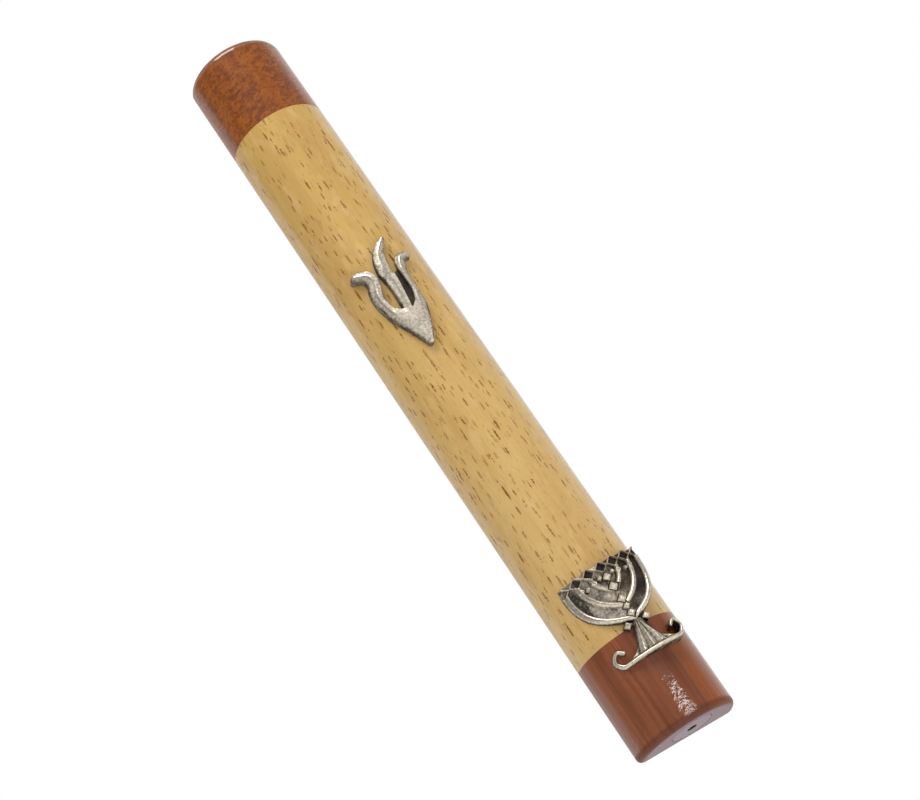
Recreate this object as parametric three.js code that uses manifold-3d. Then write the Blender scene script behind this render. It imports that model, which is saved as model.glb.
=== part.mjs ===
// Mezuzah case: a flat-backed wooden rod in two woods, bored for a rolled parchment, closed by a
// stopper at the foot and dressed with two cast pewter emblems.
// Millimetres. +Z runs up the case, the round front faces -Y and the adhesive back faces +Y.
// The origin is the middle of the mounting face, on the outside of the release liner.
import * as THREE from 'three';
import { mergeVertices } from 'three/addons/utils/BufferGeometryUtils.js';
import Module from 'manifold-3d';

const wasm = await Module();
wasm.setup();

// Driving dimensions: the wooden rod.
const CASE_LENGTH = 153;
const FRONT_RADIUS = 9.5; // half the case's width
const BACK_OFFSET = 1.5; // from the axis of the round front to the flat back
const BACK_EDGE_ROUND = 1.8;
const CAP_LENGTH = 18;
const TOP_EDGE_RADIUS = 1.9;
const FOOT_EDGE_RADIUS = 1;
const BORE_RADIUS = 3.8;

// The stopper, the dowel and the scroll.
const RUNNING_CLEARANCE = 0.05; // radial, for the stopper and the dowel in the bore
const STOPPER_LENGTH = 8;
const STOPPER_CHAMFER = 0.6;
const PULL_HOLE_RADIUS = 0.9;
const PULL_HOLE_DEPTH = 3;
const DOWEL_IN_CAP = 9.5;
const DOWEL_IN_BODY = 10;
const SOCKET_DEPTH = 10;
const SCROLL_HEIGHT = 100;
const SHEET_THICKNESS = 0.2;
const SHEET_PITCH = 0.3; // one turn of the roll to the next
const ROLL_INNER_RADIUS = 1.3;
const ROLL_TURNS = 6.25;
const WRAPPER_RADIUS = 3.55;
const WRAPPER_THICKNESS = 0.1;
const WRAPPER_OVERHANG = 2; // of the film past each end of the roll
const WRAPPER_REST_GAP = 1; // from the stopper to the wrapper

// The adhesive strip and its liner.
const STRIP_WIDTH = 12;
const STRIP_LENGTH = 120;
const STRIP_THICKNESS = 1;
const STRIP_CORNER = 1.5;
const LINER_THICKNESS = 0.1;
const LINER_TAB = 4; // of the liner past the strip, to peel it by

// The emblems.
const GLUE_GAP = 0.12; // between an emblem's hollow back and the wood
// Each emblem stands at x, its foot this far above the case's, with its rounded front turned by turn
// degrees towards -X.
const SHIN = { x: -1.6, foot: 78.5, turn: 8, thickness: 1.2, frontRadius: 11 };
const MENORAH = { x: 0.2, foot: 12.4, turn: 8, floor: 0.95, relief: 1.5, frontRadius: 11 };

// Worked out from the above.
const HALF_LENGTH = CASE_LENGTH / 2;
const JOINT_Z = HALF_LENGTH - CAP_LENGTH;
const BACK_Y = -(STRIP_THICKNESS + LINER_THICKNESS);
const AXIS_Y = BACK_Y - BACK_OFFSET;
const FRONT_Y = AXIS_Y - FRONT_RADIUS;
const BORE_Y = (BACK_Y + FRONT_Y) / 2;
const STOPPER_RADIUS = BORE_RADIUS - RUNNING_CLEARANCE;

// Facet counts.
const CASE_FACETS = 96; // round the full circle of the front
const BORE_FACETS = 48;
const STROKE_FACETS = 14;
const MERGE_DISTANCE = 1e-5;

const WOOD_FINISH = { roughness: 0.32, metalness: 0 };
const PEWTER_FINISH = { roughness: 0.42, metalness: 0.9 };
const MATERIALS = {
  beech: new THREE.MeshStandardMaterial({ color: 0xc8a46a, ...WOOD_FINISH }),
  mahogany: new THREE.MeshStandardMaterial({ color: 0x7c4527, ...WOOD_FINISH }),
  dowelWood: new THREE.MeshStandardMaterial({ color: 0xd2b27c, roughness: 0.7, metalness: 0 }),
  pewter: new THREE.MeshStandardMaterial({ color: 0xaba192, ...PEWTER_FINISH }),
  stopper: new THREE.MeshStandardMaterial({ color: 0x5d3a30, roughness: 0.5, metalness: 0 }),
  parchment: new THREE.MeshStandardMaterial({ color: 0xe6d6b0, roughness: 0.8, metalness: 0 }),
  film: new THREE.MeshStandardMaterial({ color: 0xeef2f4, roughness: 0.15, metalness: 0 }),
  foam: new THREE.MeshStandardMaterial({ color: 0xe9e8e2, roughness: 0.9, metalness: 0 }),
  liner: new THREE.MeshStandardMaterial({ color: 0xf3ead2, roughness: 0.45, metalness: 0 }),
};

// Closed geometry to a solid that can be joined and cut, and back.
function solid(geometry) {
  const bare = geometry.clone();
  bare.deleteAttribute('normal');
  bare.deleteAttribute('uv');
  const merged = mergeVertices(bare, MERGE_DISTANCE);
  const triangles = [];
  for (let i = 0; i < merged.index.count; i += 3) {
    const [a, b, c] = merged.index.array.slice(i, i + 3);
    if (a !== b && b !== c && c !== a) triangles.push(a, b, c); // none left at a turned part's pole
  }
  return new wasm.Manifold(new wasm.Mesh({
    numProp: 3,
    vertProperties: merged.attributes.position.array,
    triVerts: new Uint32Array(triangles),
  }));
}

function surface(cutSolid) {
  const mesh = cutSolid.getMesh();
  const geometry = new THREE.BufferGeometry();
  geometry.setAttribute('position', new THREE.BufferAttribute(mesh.vertProperties, 3));
  geometry.setIndex(new THREE.BufferAttribute(mesh.triVerts, 1));
  geometry.computeVertexNormals();
  return geometry;
}

function named(name, geometry, material) {
  const mesh = new THREE.Mesh(geometry, material);
  mesh.name = name;
  return mesh;
}

const outlineOf = (points) => points.map(([x, y]) => new THREE.Vector2(x, y));
const mirrored = (points) => points.map(([x, y]) => [-x, y]);
const spline = (points) => new THREE.SplineCurve(outlineOf(points));
const bezier = (points) => new THREE.CubicBezierCurve(...outlineOf(points));

// Points on an arc, both ends included.
function arc(x, y, radius, from, to, steps) {
  return Array.from({ length: steps + 1 }, (_, i) => {
    const angle = from + ((to - from) * i) / steps;
    return new THREE.Vector2(x + radius * Math.cos(angle), y + radius * Math.sin(angle));
  });
}

function circle(x, y, radius, steps) {
  return arc(x, y, radius, 0, 2 * Math.PI, steps).slice(0, -1);
}

function extruded(points, depth, z, options = {}) {
  const { holes = [], bevel = 0, bevelSteps = 1 } = options;
  const shape = new THREE.Shape(points);
  shape.holes = holes.map((hole) => new THREE.Path(hole));
  const geometry = new THREE.ExtrudeGeometry(shape, {
    depth: depth - 2 * bevel,
    bevelEnabled: bevel > 0,
    bevelThickness: bevel,
    bevelSize: bevel,
    bevelOffset: -bevel,
    bevelSegments: bevelSteps,
    steps: 1,
  });
  return geometry.translate(0, 0, z + bevel);
}

// A solid of revolution about a line parallel to Z, from its (radius, height) profile.
function turned(profile, y) {
  const points = profile.map(([radius, height]) => new THREE.Vector2(radius, height));
  return new THREE.LatheGeometry(points, BORE_FACETS).rotateX(Math.PI / 2).translate(0, y, 0);
}

function upright(radius, height, z, y, facets) {
  return new THREE.CylinderGeometry(radius, radius, height, facets)
    .rotateX(Math.PI / 2)
    .translate(0, y, z + height / 2);
}

// The rod's section: a round front closed by a flat back with eased edges.
function caseSection() {
  const front = arc(0, AXIS_Y, FRONT_RADIUS, -Math.PI, 0, CASE_FACETS / 2);
  const eased = (side) => new THREE.QuadraticBezierCurve(
    new THREE.Vector2(side * FRONT_RADIUS, AXIS_Y),
    new THREE.Vector2(side * FRONT_RADIUS, BACK_Y),
    new THREE.Vector2(side * (FRONT_RADIUS - BACK_EDGE_ROUND), BACK_Y),
  ).getPoints(6).slice(1);
  return [...front, ...eased(1), ...eased(-1).reverse()];
}

function body() {
  const holes = [circle(0, BORE_Y, BORE_RADIUS, BORE_FACETS)];
  return named('body', extruded(caseSection(), 2 * JOINT_Z, -JOINT_Z, { holes }), MATERIALS.beech);
}

// Half of an end's profile, as (distance from the axis, height): a flat top, a rounded edge that
// meets the side wall at its limit, and clear of the wall below.
function endProfile(limit, edgeRadius, steps) {
  const edge = arc(limit - edgeRadius, CAP_LENGTH - edgeRadius, edgeRadius, 0, Math.PI / 2, steps);
  const clear = [[2 * FRONT_RADIUS, -1], [2 * FRONT_RADIUS, CAP_LENGTH / 2]];
  return [...outlineOf(clear), ...edge];
}

// A cap standing on its glue joint: a turned dome rounds the front edge, a bullnose the back one.
function capBlank(edgeRadius, steps) {
  const turnedEnd = endProfile(FRONT_RADIUS, edgeRadius, steps);
  const axisPoints = outlineOf([[0, CAP_LENGTH], [0, -1]]);
  const dome = new THREE.LatheGeometry([axisPoints[1], ...turnedEnd, axisPoints[0]], CASE_FACETS)
    .rotateX(Math.PI / 2)
    .translate(0, AXIS_Y, 0);
  const backEnd = endProfile(BACK_OFFSET, edgeRadius, steps);
  const front = outlineOf([[-2 * FRONT_RADIUS, CAP_LENGTH], [-2 * FRONT_RADIUS, -1]]);
  const bullnose = extruded([...backEnd, ...front], 4 * FRONT_RADIUS, -2 * FRONT_RADIUS)
    .rotateX(Math.PI / 2)
    .rotateZ(Math.PI / 2)
    .translate(0, AXIS_Y, 0);
  return solid(extruded(caseSection(), CAP_LENGTH, 0)).intersect(solid(dome)).intersect(solid(bullnose));
}

function topCap() {
  const socket = solid(upright(BORE_RADIUS, 2 * SOCKET_DEPTH, JOINT_Z - SOCKET_DEPTH, BORE_Y, BORE_FACETS));
  return named('top_cap', surface(capBlank(TOP_EDGE_RADIUS, 6).translate([0, 0, JOINT_Z]).subtract(socket)),
    MATERIALS.mahogany);
}

function bottomCap() {
  const bore = solid(upright(BORE_RADIUS, 2 * CAP_LENGTH, -HALF_LENGTH - CAP_LENGTH / 2, BORE_Y,
    BORE_FACETS));
  const blank = capBlank(FOOT_EDGE_RADIUS, 2).rotate([0, 180, 0]).translate([0, 0, -JOINT_Z]);
  return named('bottom_cap', surface(blank.subtract(bore)), MATERIALS.mahogany);
}

// The dowel closes the top of the bore and pins the cap to the body.
function topDowel() {
  const low = JOINT_Z - DOWEL_IN_BODY;
  const high = JOINT_Z + DOWEL_IN_CAP;
  const profile = [
    [0, low],
    [STOPPER_RADIUS - STOPPER_CHAMFER, low],
    [STOPPER_RADIUS, low + STOPPER_CHAMFER],
    [STOPPER_RADIUS, high - STOPPER_CHAMFER],
    [STOPPER_RADIUS - STOPPER_CHAMFER, high],
    [0, high],
  ];
  return named('top_dowel', turned(profile, BORE_Y), MATERIALS.dowelWood);
}

function stopper() {
  const low = -HALF_LENGTH;
  const high = low + STOPPER_LENGTH;
  const profile = [
    [0, low + PULL_HOLE_DEPTH],
    [PULL_HOLE_RADIUS, low + PULL_HOLE_DEPTH],
    [PULL_HOLE_RADIUS, low],
    [STOPPER_RADIUS, low],
    [STOPPER_RADIUS, high - STOPPER_CHAMFER],
    [STOPPER_RADIUS - STOPPER_CHAMFER, high],
    [0, high],
  ];
  return named('stopper', turned(profile, BORE_Y), MATERIALS.stopper);
}

// The sheet is one long spiral in plan, drawn out along one face and back along the other.
function parchmentScroll(z) {
  const stepsPerTurn = 28;
  const steps = Math.round(ROLL_TURNS * stepsPerTurn);
  const face = (extra) => Array.from({ length: steps + 1 }, (_, i) => {
    const turns = i / stepsPerTurn;
    const radius = ROLL_INNER_RADIUS + SHEET_PITCH * turns + extra;
    const angle = 2 * Math.PI * turns;
    return new THREE.Vector2(radius * Math.cos(angle), BORE_Y + radius * Math.sin(angle));
  });
  const outline = [...face(SHEET_THICKNESS), ...face(0).reverse()];
  return named('parchment_scroll', extruded(outline, SCROLL_HEIGHT, z), MATERIALS.parchment);
}

function scrollWrapper(z) {
  const outer = circle(0, BORE_Y, WRAPPER_RADIUS, BORE_FACETS);
  const inner = circle(0, BORE_Y, WRAPPER_RADIUS - WRAPPER_THICKNESS, BORE_FACETS);
  const height = SCROLL_HEIGHT + 2 * WRAPPER_OVERHANG;
  return named('scroll_wrapper', extruded(outer, height, z, { holes: [inner] }), MATERIALS.film);
}

// A rounded slab lying against the case's back, given by its outer face and thickness.
function slab(width, bottom, top, outerY, thickness) {
  const middle = (bottom + top) / 2;
  const halfX = width / 2 - STRIP_CORNER;
  const halfZ = (top - bottom) / 2 - STRIP_CORNER;
  const corners = [[1, 1], [-1, 1], [-1, -1], [1, -1]];
  const points = corners.flatMap(([sideX, sideZ], i) => arc(
    sideX * halfX, middle + sideZ * halfZ, STRIP_CORNER, (i * Math.PI) / 2, ((i + 1) * Math.PI) / 2, 5));
  return extruded(points, thickness, 0).rotateX(Math.PI / 2).translate(0, outerY, 0);
}

function adhesiveStrip() {
  return named('adhesive_strip',
    slab(STRIP_WIDTH, -STRIP_LENGTH / 2, STRIP_LENGTH / 2, -LINER_THICKNESS, STRIP_THICKNESS),
    MATERIALS.foam);
}

function releaseLiner() {
  return named('release_liner',
    slab(STRIP_WIDTH, -STRIP_LENGTH / 2 - LINER_TAB, STRIP_LENGTH / 2, 0, LINER_THICKNESS),
    MATERIALS.liner);
}

// Emblems are drawn flat, seen from the front, as (across, up) from the middle of their foot.
// A stroke is a band of varying width along a curve; widths are given at equal steps along it.
function stroke(curve, widths) {
  const at = (list, t) => {
    const place = t * (list.length - 1);
    const i = Math.min(Math.floor(place), list.length - 2);
    return THREE.MathUtils.lerp(list[i], list[i + 1], place - i);
  };
  const left = [];
  const right = [];
  for (let i = 0; i <= STROKE_FACETS; i += 1) {
    const t = i / STROKE_FACETS;
    const point = curve.getPointAt(t);
    const tangent = curve.getTangentAt(t);
    const half = at(widths, t) / 2;
    left.push(new THREE.Vector2(point.x - tangent.y * half, point.y + tangent.x * half));
    right.push(new THREE.Vector2(point.x + tangent.y * half, point.y - tangent.x * half));
  }
  return [...right, ...left.reverse()];
}

// A flat outline driven through the case's front, ready to be trimmed to thickness.
function punched(points) {
  const area = THREE.ShapeUtils.area(points);
  const outline = area < 0 ? [...points].reverse() : points;
  return solid(extruded(outline, 2 * FRONT_RADIUS, 0).rotateX(Math.PI / 2));
}

const joined = (solids) => solids.reduce((whole, next) => whole.add(next));

// Trims a punched emblem to its rounded front, which stands off the wood at the emblem's middle.
function trimmedFront(emblem, place, thickness) {
  const turn = THREE.MathUtils.degToRad(place.turn);
  const front = upright(place.frontRadius, 2 * CASE_LENGTH, -CASE_LENGTH, 0, 72).translate(
    place.x + place.frontRadius * Math.sin(turn),
    FRONT_Y - thickness + place.frontRadius * Math.cos(turn),
    0,
  );
  return emblem.intersect(solid(front));
}

function hollowedBack(emblem) {
  const wood = upright(FRONT_RADIUS + GLUE_GAP, 2 * CASE_LENGTH, -CASE_LENGTH, AXIS_Y, 96);
  const behind = new THREE.BoxGeometry(4 * FRONT_RADIUS, 2 * FRONT_RADIUS, 2 * CASE_LENGTH)
    .translate(0, AXIS_Y + FRONT_RADIUS, 0);
  return emblem.subtract(solid(wood)).subtract(solid(behind));
}

// Three flames that rise from one pointed leaf.
function shinEmblem() {
  const leaf = outlineOf([
    [0, 0], [0.5, 0.3], [1.5, 2.4], [2.7, 5.3], [3.5, 8], [3.6, 10.6],
    [2.1, 9.2], [0.9, 8], [-0.6, 8.4], [-2, 9.6],
    [-3.8, 10.6], [-3.5, 8.4], [-2.5, 5.8], [-1.3, 2.8], [-0.5, 0.4],
  ]);
  const flames = [
    stroke(spline([[-2.3, 7.6], [-3.1, 10.8], [-3.2, 13.4], [-2.5, 16], [-3, 17.7], [-4.6, 18.8]]),
      [1.3, 1.6, 1.7, 2.2, 2, 1.3]),
    stroke(spline([[-0.2, 6], [0.15, 10.5], [0.35, 14], [0.25, 17.3], [1.1, 20.4], [3.2, 22.8]]),
      [1, 1.6, 1.9, 2.5, 2.2, 0.8]),
    stroke(spline([[2.2, 7.4], [3, 10.8], [3.15, 14], [3.4, 16.4], [4.1, 17.9], [5.6, 18.2]]),
      [1.3, 1.2, 0.95, 1.2, 1.9, 1.3]),
  ];
  const emblem = joined([leaf, ...flames].map(punched))
    .translate([SHIN.x, 0, SHIN.foot - HALF_LENGTH]);
  return named('shin_emblem', surface(hollowedBack(trimmedFront(emblem, SHIN, SHIN.thickness))),
    MATERIALS.pewter);
}

// The right half of a menorah's three pairs of branches, outermost first.
const BRANCHES = [
  { curve: [[6.75, 16.6], [7.05, 10.6], [4.8, 7.9], [0, 6.5]], width: 1.05 },
  { curve: [[4.8, 16.2], [4.9, 13.2], [3.3, 10.4], [0, 9.1]], width: 0.95 },
  { curve: [[2.5, 16.2], [2.5, 14.4], [1.7, 13], [0, 11.9]], width: 0.85 },
];
const PLATE_TOP = 17.4;
const PLATE_HALF_WIDTH = 7.2;
const CUP_BAND_FOOT = 15.6;
const CUP_SPACING = 2.3;
const CUP_SIZE = 0.55; // half of its diagonal
const CUP_UP = 16.5;
const KNOB_SIZE = 0.8;
const STEM_HALF_WIDTH = 0.35;

// The open fan behind the branches, closed by the row of lamp cups along its top.
function menorahPlate() {
  const rim = bezier(BRANCHES[0].curve).getPoints(STROKE_FACETS);
  const otherRim = rim.map((point) => new THREE.Vector2(-point.x, point.y)).reverse();
  const top = outlineOf([[-PLATE_HALF_WIDTH, PLATE_TOP], [PLATE_HALF_WIDTH, PLATE_TOP]]);
  return punched([...top, ...rim, ...otherRim.slice(1)]);
}

// A skirt with hollow sides on a bar whose ends curl up into volutes.
function menorahFoot() {
  const side = bezier([[0.5, 6], [1.6, 3.6], [1.6, 1.2], [4.4, 0.85]]).getPoints(8);
  const skirt = [
    ...side,
    ...outlineOf([[4.6, 0], [-4.6, 0]]),
    ...side.map((point) => new THREE.Vector2(-point.x, point.y)).reverse(),
  ];
  const curl = [[3.8, 0.42], [5.4, 0.6], [6.2, 2], [5.4, 3.2], [4.5, 2.5]];
  const volutes = [curl, mirrored(curl)]
    .map((points) => stroke(spline(points), [0.84, 0.85, 0.65, 0.6, 0.5]));
  return [skirt, ...volutes].map(punched);
}

// A square standing on its corner, and one lying on its side.
function diamond(x, up, size) {
  return punched(arc(x, up, size, 0, 2 * Math.PI, 4).slice(0, -1));
}

function block(left, right, bottom, top) {
  return punched(outlineOf([[left, bottom], [right, bottom], [right, top], [left, top]]));
}

function menorahRelief() {
  const branches = BRANCHES.flatMap(({ curve, width }) => [curve, mirrored(curve)]
    .map((points) => punched(stroke(bezier(points), [width, width]))));
  const stem = block(-STEM_HALF_WIDTH, STEM_HALF_WIDTH, 5.2, CUP_UP);
  const collar = block(-1.7, 1.7, 5.4, 6);
  const band = block(-PLATE_HALF_WIDTH, PLATE_HALF_WIDTH, CUP_BAND_FOOT, PLATE_TOP);
  const knobs = [[0, 7.3], [0, 8.7], [0, 10.1], [0, 12.6], [0, 14.5], [1.75, 5.7], [-1.75, 5.7]]
    .map(([x, up]) => diamond(x, up, KNOB_SIZE));
  return joined([...branches, stem, collar, band, ...knobs, ...menorahFoot()]);
}

function menorahEmblem() {
  const placed = (piece) => piece.translate([MENORAH.x, 0, MENORAH.foot - HALF_LENGTH]);
  const cups = joined([-3, -2, -1, 0, 1, 2, 3].map((i) => diamond(i * CUP_SPACING, CUP_UP, CUP_SIZE)));
  const relief = trimmedFront(placed(menorahRelief().subtract(cups)), MENORAH, MENORAH.relief);
  const plate = trimmedFront(placed(menorahPlate()), MENORAH, MENORAH.floor);
  return named('menorah_emblem', surface(hollowedBack(relief.add(plate))), MATERIALS.pewter);
}

const scrollFoot = -HALF_LENGTH + STOPPER_LENGTH + WRAPPER_REST_GAP;
const mezuzahCase = new THREE.Group();
mezuzahCase.add(
  body(),
  topCap(),
  bottomCap(),
  topDowel(),
  stopper(),
  parchmentScroll(scrollFoot + WRAPPER_OVERHANG),
  scrollWrapper(scrollFoot),
  adhesiveStrip(),
  releaseLiner(),
  shinEmblem(),
  menorahEmblem(),
);

export default mezuzahCase;
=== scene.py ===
import math

import bpy
import numpy as np
from mathutils import Matrix, Vector
from mathutils.kdtree import KDTree


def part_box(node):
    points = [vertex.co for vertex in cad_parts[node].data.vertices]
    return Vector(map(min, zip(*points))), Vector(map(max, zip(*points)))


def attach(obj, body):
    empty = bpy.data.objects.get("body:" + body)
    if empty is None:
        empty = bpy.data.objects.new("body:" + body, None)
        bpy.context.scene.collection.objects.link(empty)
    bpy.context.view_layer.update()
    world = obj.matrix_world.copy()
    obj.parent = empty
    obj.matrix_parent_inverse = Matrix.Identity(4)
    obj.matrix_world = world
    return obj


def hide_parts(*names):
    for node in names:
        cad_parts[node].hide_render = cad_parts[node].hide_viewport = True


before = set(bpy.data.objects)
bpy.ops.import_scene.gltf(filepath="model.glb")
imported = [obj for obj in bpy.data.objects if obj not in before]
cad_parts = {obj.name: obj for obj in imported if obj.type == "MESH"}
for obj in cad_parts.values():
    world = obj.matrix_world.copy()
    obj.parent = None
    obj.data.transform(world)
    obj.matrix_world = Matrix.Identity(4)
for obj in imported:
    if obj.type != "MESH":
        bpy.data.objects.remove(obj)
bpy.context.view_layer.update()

MM = 0.001  # the object and the camera are given in millimetres, the floor and the lights in metres

# --- Sizes, read from model.glb where it gives them ---


def box_mm(node):
    low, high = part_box(node)
    return np.array(low) / MM, np.array(high) / MM


BODY_LOW, BODY_HIGH = box_mm("body")
STOPPER_LOW, STOPPER_HIGH = box_mm("stopper")
ROLL_LOW, ROLL_HIGH = box_mm("parchment_scroll")
FILM_LOW, FILM_HIGH = box_mm("scroll_wrapper")
DOWEL_LOW, DOWEL_HIGH = box_mm("top_dowel")
FOAM_LOW, FOAM_HIGH = box_mm("adhesive_strip")
LINER_LOW, LINER_HIGH = box_mm("release_liner")

CASE_RADIUS = 9.5
FRONT_Y, BACK_Y = BODY_LOW[1], BODY_HIGH[1]
AXIS_Y = FRONT_Y + CASE_RADIUS
BORE_Y = (FRONT_Y + BACK_Y) / 2
BORE_RADIUS = 3.8
PLUG_RADIUS = 3.75
PLUG_CHAMFER = 0.6  # of the stopper's inner end and both ends of the dowel
PLUG_END_RING = 1.5  # radius of a ring of points on each flat end
PULL_HOLE_RADIUS, PULL_HOLE_DEPTH = 0.9, 3.0
SOCKET_DEPTH = 10
HALF_LENGTH = box_mm("top_cap")[1][2]
JOINT_Z = BODY_HIGH[2]
TOP_ROUND = 1.9
FOOT_ROUND = 1.0
BACK_ROUND = 1.3  # of the long edges between the round front and the flat back
JOINT_EASE = 0.03  # the hair of a chamfer that sanding leaves along a glue joint
STRIP_CORNER = 1.5

COLUMNS = 360  # round the case
TURNED_COLUMNS = 144  # round the bore's fittings
SHARP_ANGLE = math.radians(38)
HALVINGS = 40  # of the bracket round each point of the case's section
SETTLING_PASSES = 4  # while a flat grid is fitted to its outline
SHEET_STEP = 0.4
CAST_STEP = 0.055


def clip01(values):
    return np.clip(values, 0, 1)


# --- Meshes ---


def placed(name, data):
    """A new object, linked into the scene."""
    thing = bpy.data.objects.new(name, data)
    bpy.context.scene.collection.objects.link(thing)
    return thing


def add_piece(name, points, faces, body, slot, node, material, wear_and_shade=None):
    """A closed mesh from points in millimetres, riding on a CAD body and standing for a CAD node."""
    mesh = bpy.data.meshes.new(name)
    outward = facing_out(points, faces)
    mesh.from_pydata((np.asarray(points) * MM).tolist(), [], [tuple(map(int, f)) for f in outward])
    mesh.materials.append(material)
    if wear_and_shade is not None:
        attribute = mesh.attributes.new("wear_and_shade", "FLOAT", "POINT")
        attribute.data.foreach_set("value", np.asarray(wear_and_shade, np.float32))
    mesh.polygons.foreach_set("use_smooth", np.ones(len(mesh.polygons), bool))
    mesh.update()
    mesh.set_sharp_from_angle(angle=SHARP_ANGLE)
    piece = placed(name, mesh)
    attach(piece, body)
    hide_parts(node)


def numbered(rows):
    """The numbers of the points in equal rows, when the rows are put end to end."""
    return np.arange(len(rows) * len(rows[0])).reshape(len(rows), -1)


def tube(index):
    """Quads from each row of point numbers to the next, every row closed on itself."""
    ahead = np.roll(index, -1, axis=1)
    return np.stack([index[:-1], ahead[:-1], ahead[1:], index[1:]], -1).reshape(-1, 4).tolist()


def skin(rows, start_pole=None, end_pole=None):
    """Points and faces over equal closed rows. Without poles the last row joins the first."""
    points, index = np.concatenate(rows), numbered(rows)
    if start_pole is None:
        return points, tube(np.vstack([index, index[:1]]))
    first, last = len(points), len(points) + 1
    fans = [(first, b, a) for a, b in zip(index[0], np.roll(index[0], -1))]
    fans += [(last, a, b) for a, b in zip(index[-1], np.roll(index[-1], -1))]
    return np.concatenate([points, [start_pole, end_pole]]), tube(index) + fans


def facing_out(points, faces):
    """The faces turned so that the closed mesh holds a positive volume."""
    corners = [(face[0], face[i], face[i + 1]) for face in faces for i in range(1, len(face) - 1)]
    a, b, c = np.asarray(points)[np.array(corners).T]
    volume = np.sum(a * np.cross(b, c))
    return faces if volume > 0 else [face[::-1] for face in faces]


def circle_angles(count):
    return np.linspace(0, 2 * math.pi, count, endpoint=False)


def about_bore(radius, angles, z):
    """Points at one height and at the given radii from the bore's axis."""
    x, y = radius * np.cos(angles), BORE_Y + radius * np.sin(angles)
    return np.stack([x, y, np.full(len(angles), float(z))], -1)


def turned(profile, flute=None):
    """A solid turned about the bore's axis from (radius, height) points; both ends lie on the axis."""
    angles = circle_angles(TURNED_COLUMNS)
    rows = [about_bore(radius + (flute(angles, radius) if flute else 0.0), angles, height)
            for radius, height in profile[1:-1]]
    return skin(rows, (0, BORE_Y, profile[0][1]), (0, BORE_Y, profile[-1][1]))


# --- The wooden case ---


def case_ring(inset, z):
    """The case's section, a round front closed by a flat back, drawn in by inset."""
    angles = circle_angles(COLUMNS)
    near, far = np.zeros(COLUMNS), np.full(COLUMNS, 2 * CASE_RADIUS)
    for _ in range(HALVINGS):
        middle = (near + far) / 2
        x, y, _ = about_bore(middle, angles, z).T
        past_front = np.hypot(x, y - AXIS_Y) - CASE_RADIUS
        past_back = y - BACK_Y
        corner = np.hypot(np.maximum(past_front + BACK_ROUND, 0), np.maximum(past_back + BACK_ROUND, 0))
        outside = np.minimum(np.maximum(past_front, past_back), -BACK_ROUND) + corner > -inset
        far = np.where(outside, middle, far)
        near = np.where(outside, near, middle)
    return sanded(about_bore(near, angles, z))


def sanded(ring):
    """Hand sanding leaves the round front a few hundredths of a millimetre off true."""
    x, y, z = ring.T
    angle = np.arctan2(x, AXIS_Y - y)
    drift = 0.022 * np.sin(z / 21 + 1.3) * np.cos(angle + 0.4)
    drift += 0.014 * np.sin(z / 8.3 + 2 * angle) + 0.008 * np.sin(z / 3.7 - 3 * angle + 2)
    drift *= clip01((AXIS_Y + 1 - y) / 3)
    return ring + np.stack([np.sin(angle) * drift, -np.cos(angle) * drift, 0 * drift], -1)


def bore_ring(radius, z):
    return about_bore(radius, circle_angles(COLUMNS), z)


def bore_rings(start, end, count):
    return [bore_ring(BORE_RADIUS, z) for z in np.linspace(start, end, count)]


def wall_rings(low, high, spacing):
    count = int(round((high - low) / spacing)) + 1
    return [case_ring(0.0, z) for z in np.linspace(low, high, count)]


def rounded_end(z_end, side, radius, steps):
    """Rings over a rounded edge, from the wall to the end face; side is +1 for the top."""
    turns = np.linspace(0, math.pi / 2, steps + 1)[1:]
    return [
        case_ring(radius * (1 - math.cos(turn)), z_end - side * radius * (1 - math.sin(turn)))
        for turn in turns
    ]


def between(outer, inner, shares):
    return [outer + (inner - outer) * share for share in shares]


def wooden_body():
    low, high = -JOINT_Z, JOINT_Z
    wall = wall_rings(low + JOINT_EASE, high - JOINT_EASE, 0.8)
    outer = [case_ring(JOINT_EASE, low), *wall, case_ring(JOINT_EASE, high)]
    return skin([*outer, *bore_rings(high, low, 30)])


def wooden_top_cap():
    end, socket_end = HALF_LENGTH, JOINT_Z + SOCKET_DEPTH
    wall = [case_ring(JOINT_EASE, JOINT_Z), *wall_rings(JOINT_Z + JOINT_EASE, end - TOP_ROUND, 0.6)]
    edge = rounded_end(end, 1, TOP_ROUND, 14)
    centre = np.array([0, BORE_Y, end])
    face = between(edge[-1], centre, [0.05, 0.15, 0.3, 0.5, 0.7, 0.85, 0.95])
    rows = [*bore_rings(socket_end, JOINT_Z, 6), *wall, *edge, *face]
    return skin(rows, (0, BORE_Y, socket_end), centre)


def wooden_bottom_cap():
    end = -HALF_LENGTH
    mouth_ease = 0.06
    wall = [case_ring(JOINT_EASE, -JOINT_Z)]
    wall += wall_rings(end + FOOT_ROUND, -JOINT_Z - JOINT_EASE, 0.5)[::-1]
    edge = rounded_end(end, -1, FOOT_ROUND, 7)
    lip = bore_ring(BORE_RADIUS + mouth_ease, end)
    face = between(edge[-1], lip, [0.04, 0.2, 0.4, 0.6, 0.8, 0.96, 1])
    return skin([*wall, *edge, *face, *bore_rings(end + mouth_ease, -JOINT_Z, 12)])


def chamfered_end(high):
    """The profile of a plug's inner end, as far as the axis."""
    bevel = [(PLUG_RADIUS, high - PLUG_CHAMFER), (PLUG_RADIUS - PLUG_CHAMFER, high)]
    return [*bevel, (PLUG_END_RING, high), (0, high)]


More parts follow.
